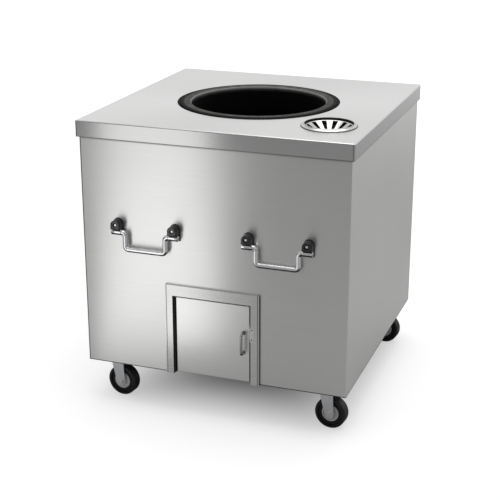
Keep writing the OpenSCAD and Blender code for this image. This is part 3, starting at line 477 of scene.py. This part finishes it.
def plain_metal(name, tone, rough, grain=300, dull=0.25):
    """Small turned, drawn or plated pieces: fine grain, handling marks and uneven gloss."""
    metal = Finish(name, Metallic=1.0)
    fine = metal.noise(grain, 3, 0.6)
    marks = metal.band(metal.noise(45, 4, 0.65), 0.48, 0.74)
    rgb = metal.blend(marks * dull, tone, tuple(c * 0.62 for c in tone))
    return metal.wear(Base_Color=rgb, Roughness=rough + marks * 0.12 + (fine - 0.5) * 0.08,
                      Normal=metal.bump(fine, 0.0001, 0.5))


bright_steel = plain_metal("bright_steel", (0.80, 0.80, 0.79), 0.24)
zinc = plain_metal("zinc_plate", (0.76, 0.77, 0.79), 0.30, grain=180, dull=0.4)
dark_pin = plain_metal("hinge_pin_steel", (0.30, 0.30, 0.31), 0.40)
# The hinge leaves are painted near black, as shade in the gap on the hinge side.
hinge_shade_black = plain_metal("hinge_painted_shade", (0.035, 0.034, 0.033), 0.42, dull=0.5)
coat(bright_steel, "strike_plate", "bullet_catch", "liner_rivets")
coat(dark_pin, "hinge_pin", "strike_screws")
coat(hinge_shade_black, "hinge_frame_leaf", "hinge_door_leaf")


# ---------- Door pull and carrying handles ----------
# The swinging bails and the brackets' barrels are bright chrome. The pull is chrome painted darker
# and the cast bosses chrome painted near black, as dark reflections, and all are painted light on
# top and dark underneath.

def polished(name, bright, dark, rough):
    """Plating painted light on its upper side and dark underneath, as light from above and shade
    below.
    """
    chromed = Finish(name, Metallic=1.0)
    _, _, nz = chromed.parts(chromed.facing)
    marks = chromed.band(chromed.noise(45, 4, 0.65), 0.48, 0.74)
    fine = chromed.noise(240, 2, 0.5)
    lit_top = chromed.band(nz + (marks - 0.5) * 0.10, -0.35, 0.05)
    rgb = chromed.blend(lit_top * (1 - marks * 0.15), dark, bright)
    return chromed.wear(Base_Color=rgb, Roughness=rough + (1 - lit_top) * 0.18 + marks * 0.06,
                        Normal=chromed.bump(fine, 0.00002, 0.5))


corner_signs = {"fl": (-1, -1), "fr": (1, -1), "bl": (-1, 1), "br": (1, 1)}
chrome = polished("polished_chrome", (0.94, 0.94, 0.95), (0.04, 0.04, 0.04), 0.06)
coat(chrome, *[f"bail_{corner}" for corner in corner_signs])
# The pull's chrome is painted darker, as dark reflections.
pull_dark_chrome = polished("pull_painted_dark_chrome", (0.42, 0.42, 0.43), (0.02, 0.02, 0.02), 0.10)
coat(pull_dark_chrome, "door_pull")
# The bosses' chrome is painted near black, as dark reflections.
boss_dark_chrome = polished("boss_painted_dark_chrome", (0.075, 0.075, 0.078), (0.015, 0.015, 0.015), 0.16)
bright_screw = plain_metal("bright_screw", (0.90, 0.90, 0.90), 0.10, grain=260)

# Each bail hangs in two cast brackets. A bracket is modelled about its own pivot, facing -Y with
# its blind bore on the right: arched foot, rounded boss with a sunk screw, neck and barrel.
handle_x, handle_z, bracket_x = 0.210, 0.585, 0.093
pin_out, boss_rise, screw_rise = 0.015, 0.0240, 0.0245


def add_to(base, tool, how):
    """Joins a tool to a base, or cuts it away."""
    blend_in = base.modifiers.new("blend_in", "BOOLEAN")
    blend_in.operation, blend_in.solver, blend_in.object = how, "EXACT", tool
    blend_in.material_mode = "TRANSFER"
    bpy.ops.object.select_all(action="DESELECT")
    base.select_set(True)
    bpy.context.view_layer.objects.active = base
    bpy.ops.object.modifier_apply(modifier=blend_in.name)
    bpy.data.objects.remove(tool)
    return base


def arched(name, half, near, far, foot_z, edge):
    """Arch-topped block standing on the casing, from near to far, its front edge rounded."""
    block = begin(bpy.ops.mesh.primitive_cylinder_add, vertices=72, radius=half, depth=near - far,
                  location=(0, (near + far) / 2, boss_rise), rotation=(math.pi / 2, 0, 0))
    bpy.ops.object.mode_set(mode="OBJECT")
    bpy.ops.object.transform_apply(location=True, rotation=True, scale=True)
    bpy.ops.object.mode_set(mode="EDIT")
    pick(block, lambda at, up: at.z < boss_rise - 0.0005, "verts")
    bpy.ops.transform.resize(value=(1, 1, 0), center_override=(0, 0, foot_z))
    bpy.ops.mesh.select_all(action="SELECT")
    bpy.ops.mesh.dissolve_limited(angle_limit=0.02)
    pick(block, lambda at, up: up.y < -0.9)
    bpy.ops.mesh.bevel(offset=edge, segments=4, affect="EDGES")
    return close_up(block, name, boss_dark_chrome)


foot = arched("bracket", half=0.017, near=0, far=-0.004, foot_z=-0.011, edge=0.0012)
boss = arched("boss", half=0.015, near=-0.001, far=-0.030, foot_z=0.0101, edge=0.0026)
neck_middle = (0, -0.010, 0.0025)
neck = begin(bpy.ops.mesh.primitive_cube_add, size=1, location=neck_middle)
bpy.ops.transform.resize(value=(0.024, 0.018, 0.020), center_override=neck_middle)
pick(neck, lambda at, edge: abs(at.x) > 0.011, "edges")
bpy.ops.mesh.bevel(offset=0.002, segments=3, affect="EDGES")
close_up(neck, "neck", boss_dark_chrome)

barrel = begin(bpy.ops.mesh.primitive_cylinder_add, vertices=64, radius=0.009, depth=0.032,
               location=(0, -pin_out, 0), rotation=(0, math.pi / 2, 0))
pick(barrel, lambda at, up: abs(up.z) > 0.9)
bpy.ops.mesh.bevel(offset=0.0012, segments=3, affect="EDGES")
close_up(barrel, "barrel", chrome)

pin_bore = begin(bpy.ops.mesh.primitive_cylinder_add, vertices=48, radius=0.00512, depth=0.032,
                 location=(0.003, -pin_out, 0), rotation=(0, math.pi / 2, 0))
close_up(pin_bore, "pin_bore", boss_dark_chrome)
screw_seat = begin(bpy.ops.mesh.primitive_cylinder_add, vertices=48, radius=0.0066, depth=0.012,
                   location=(0, -0.030, screw_rise), rotation=(math.pi / 2, 0, 0))
pick(screw_seat, lambda at, up: at.z < -0.005)
bpy.ops.mesh.inset(thickness=0.0033)
bpy.ops.mesh.extrude_region_move(TRANSFORM_OT_translate={"value": (0, 0.028, 0)})
close_up(screw_seat, "screw_seat", boss_dark_chrome)

bracket = add_to(foot, boss, "UNION")
add_to(bracket, neck, "UNION")
add_to(bracket, barrel, "UNION")
add_to(bracket, pin_bore, "DIFFERENCE")
add_to(bracket, screw_seat, "DIFFERENCE")
bpy.ops.object.shade_smooth_by_angle(angle=math.radians(32))

# A round-headed machine screw with a cross recess holds each bracket, with a nut inside.
screw = begin(bpy.ops.mesh.primitive_cylinder_add, vertices=40, radius=0.0055, depth=0.0014,
              location=(0, 0, 0.0247))
for rim, lift in ((0.0007, 0.0011), (0.0012, 0.0008), (0.0013, 0.0004)):
    pick(screw, lambda at, up: up.z > 0.9 and math.hypot(at.x, at.y) < 0.001)
    bpy.ops.mesh.inset(thickness=rim, depth=lift)
pick(screw, lambda at, up: up.z < -0.9)
bpy.ops.mesh.inset(thickness=0.0025)
bpy.ops.mesh.extrude_region_move(TRANSFORM_OT_translate={"value": (0, 0, -0.0325)})
close_up(screw, "bracket_screw", bright_screw)
slot_middle = (0, 0, 0.0276)
for angle in (0.6, 0.6 + math.pi / 2):
    slot = begin(bpy.ops.mesh.primitive_cube_add, size=1, location=slot_middle,
                 rotation=(0, 0, angle))
    bpy.ops.transform.resize(value=(0.0052, 0.0011, 0.0032), orient_type="LOCAL",
                             center_override=slot_middle)
    close_up(slot, "slot", bright_screw)
    add_to(screw, slot, "DIFFERENCE")
nut = begin(bpy.ops.mesh.primitive_cylinder_add, vertices=6, radius=0.00577, depth=0.005,
            location=(0, 0, -0.0045))
pick(nut, lambda at, up: abs(up.z) > 0.9)
bpy.ops.mesh.bevel(offset=0.0005, segments=2, affect="EDGES")
close_up(nut, "nut", bright_screw)
add_to(screw, nut, "UNION")
bpy.ops.object.shade_smooth_by_angle(angle=math.radians(32))


def copies(pattern, name, placings):
    """Copies of one modelled piece, each moved to its place, joined as one piece."""
    made = []
    for placing in placings:
        twin = bpy.data.objects.new(name, pattern.data.copy())
        bpy.context.scene.collection.objects.link(twin)
        twin.data.transform(placing)
        if placing.determinant() < 0:
            twin.data.flip_normals()
        made.append(twin)
    bpy.ops.object.select_all(action="DESELECT")
    for twin in made:
        twin.select_set(True)
    bpy.context.view_layer.objects.active = made[0]
    if len(made) > 1:
        bpy.ops.object.join()
    made[0].name = made[0].data.name = name
    return made[0]


def at_bracket(sx, sy, side):
    """Puts a bracket's own frame at one side of one handle."""
    turned = Matrix.Rotation(math.pi if sy > 0 else 0, 4, "Z")
    handle = Matrix.Translation((handle_x * sx, casing_half * sy, handle_z))
    handed = Matrix.Scale(-side, 4, (1, 0, 0))
    return handle @ turned @ Matrix.Translation((bracket_x * side, 0, 0)) @ handed


for corner, (sx, sy) in corner_signs.items():
    pair = copies(bracket, f"cast_brackets_{corner}",
                  [at_bracket(sx, sy, side) for side in (-1, 1)])
    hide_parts(f"brackets_{corner}")
    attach(pair, "cabinet")
screw_place = Matrix.Translation((0, 0, screw_rise)) @ Matrix.Rotation(math.pi / 2, 4, "X")
screws = copies(screw, "bracket_screws", [
    at_bracket(sx, sy, side) @ screw_place
    for sx, sy in corner_signs.values() for side in (-1, 1)])
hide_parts("handle_screws")
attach(screws, "cabinet")
bpy.data.objects.remove(bracket)
bpy.data.objects.remove(screw)


# ---------- Flue vent ----------
# A pressed stainless collar sits in the worktop and holds a slotted seat.
# A spun dish with the same slots turns over the seat on a rivet, and opens or shuts the flue.

vent_x, vent_y, vent_bore_r, collar_r = 0.304, -0.246, 0.072, 0.0845
vent = Finish("vent_steel", Metallic=1.0)
x, y, z = vent.parts(vent.spot)
_, _, nz = vent.parts(vent.facing)
from_flue = ((x - vent_x) ** 2 + (y - vent_y) ** 2) ** 0.5
turned = vent.noise(1.0, 3, 0.6, vent.join(from_flue * 900, 0.0, z * 900))
fumes = vent.noise(26, 4, 0.65)
# The bore's edge, every upright face and the collar's seam are painted near black, as shade in the
# slots and round the edges.
crevice = vent.band(from_flue, vent_bore_r - 0.0025, vent_bore_r - 0.0015) * (
    1 - vent.band(from_flue, vent_bore_r + 0.0015, vent_bore_r + 0.0025))
upright = 1 - vent.band(abs(nz), 0.30, 0.42)
seam = vent.band(from_flue, collar_r - 0.0027, collar_r - 0.0019)
vent_painted_shade = 1 - (1 - crevice * 0.85) * (1 - upright * 0.75) * (1 - seam * 0.8)
vent_tone = 0.92 + (turned - 0.5) * 0.12 - vent.band(fumes, 0.5, 0.75) * 0.18
vent_rgb = vent.blend(vent_painted_shade, vent.shaded((0.60, 0.60, 0.59), vent_tone), shade_and_weld_black)
coat(vent.wear(Base_Color=vent_rgb, Roughness=0.27 + (turned - 0.5) * 0.1 + vent_painted_shade * 0.3,
               Normal=vent.bump(turned, 0.00006, 0.5)), "vent_collar", "vent_dish")
coat(bright_steel, "vent_rivet")


# ---------- Casters ----------
# Each caster is held under the cabinet by four bolts. Its top plate and fork are pressed steel,
# zinc plated; its wheel is a moulded grey core with a black rubber tyre, on a bolt for an axle.

core = Finish("wheel_core_nylon", Metallic=0.0)
mould = core.noise(240, 3, 0.5)
scuffs = core.band(core.noise(28, 4, 0.6), 0.5, 0.8)
core_rgb = core.blend(scuffs * 0.5, (0.66, 0.66, 0.65), (0.40, 0.40, 0.39))
core_grey = core.wear(Base_Color=core_rgb, Roughness=0.42 + scuffs * 0.25,
                      Normal=core.bump(mould, 0.0002, 0.5))

rubber = Finish("tyre_rubber", Specular_IOR_Level=0.4)
skin = rubber.noise(330, 4, 0.6)
dusty = rubber.band(rubber.noise(16, 4, 0.65), 0.5, 0.8)
rubber_rgb = rubber.blend(dusty * 0.5, (0.008, 0.008, 0.008), (0.035, 0.034, 0.032))
tyre_black = rubber.wear(Base_Color=rubber_rgb, Roughness=0.45 + dusty * 0.3,
                         Normal=rubber.bump(skin, 0.0004, 0.6))

# One tyre is turned about Z: round shoulders, two tread grooves, and a step and a moulded ring
# on each side. It is pressed over the core, and copied to each wheel.
tyre_r, tyre_w, core_r = 0.04999, 0.034, 0.0272
groove_in, groove_out = 0.0055, 0.0075
tyre = begin(bpy.ops.mesh.primitive_cylinder_add, vertices=96, radius=tyre_r, depth=tyre_w)
pick(tyre, lambda at, up: abs(up.z) > 0.9)
bpy.ops.mesh.bevel(offset=0.0045, segments=5, affect="EDGES")
for cut in (-groove_out, -groove_in, groove_in, groove_out):
    bpy.ops.mesh.select_all(action="SELECT")
    bpy.ops.mesh.bisect(plane_co=(0, 0, cut), plane_no=(0, 0, 1))
pick(tyre, lambda at, up: groove_in + 0.0001 < abs(at.z) < groove_out - 0.0001)
bpy.ops.mesh.inset(thickness=0.0004, depth=-0.0010)


def in_the_middle(at, up):
    """True for the face in the middle of either end of a turned piece."""
    return abs(up.z) > 0.9 and math.hypot(at.x, at.y) < 0.001


for rim, lift in ((0.0050, 0), (0.0015, -0.0050), (0.0042, 0), (0.0005, 0.0009), (0.0008, 0),
                  (0.0005, -0.0009)):
    pick(tyre, in_the_middle)
    bpy.ops.mesh.inset(thickness=rim, depth=lift)
pick(tyre, in_the_middle)
shape = bmesh.from_edit_mesh(tyre.data)
inner_r = max(v.co.xy.length for f in shape.faces if f.select for v in f.verts)
bpy.ops.mesh.inset(thickness=inner_r - core_r)
bpy.ops.mesh.delete(type="FACE")
pick(tyre, lambda at, edge: edge.is_boundary, "edges")
bpy.ops.mesh.bridge_edge_loops()
close_up(tyre, "tyre", tyre_black, 40)

# The wheels have trailed towards +X, nearly square to the front.
caster_out, axle_z, trail, trail_turn = 0.350, 0.050, 0.012, math.radians(-6)
for corner, (sx, sy) in corner_signs.items():
    wheel = (Matrix.Translation((caster_out * sx, caster_out * sy, axle_z))
             @ Matrix.Rotation(trail_turn, 4, "Z") @ Matrix.Translation((trail, 0, 0))
             @ Matrix.Rotation(math.pi / 2, 4, "X"))
    rubber_tyre = copies(tyre, f"rubber_tyre_{corner}", [wheel])
    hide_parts(f"tyre_{corner}")
    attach(rubber_tyre, f"wheel_{corner}")
    coat(zinc, f"top_plate_{corner}", f"fork_{corner}")
    coat(bright_steel, f"axle_{corner}")
    coat(core_grey, f"wheel_core_{corner}")
bpy.data.objects.remove(tyre)
coat(zinc, "caster_bolts")
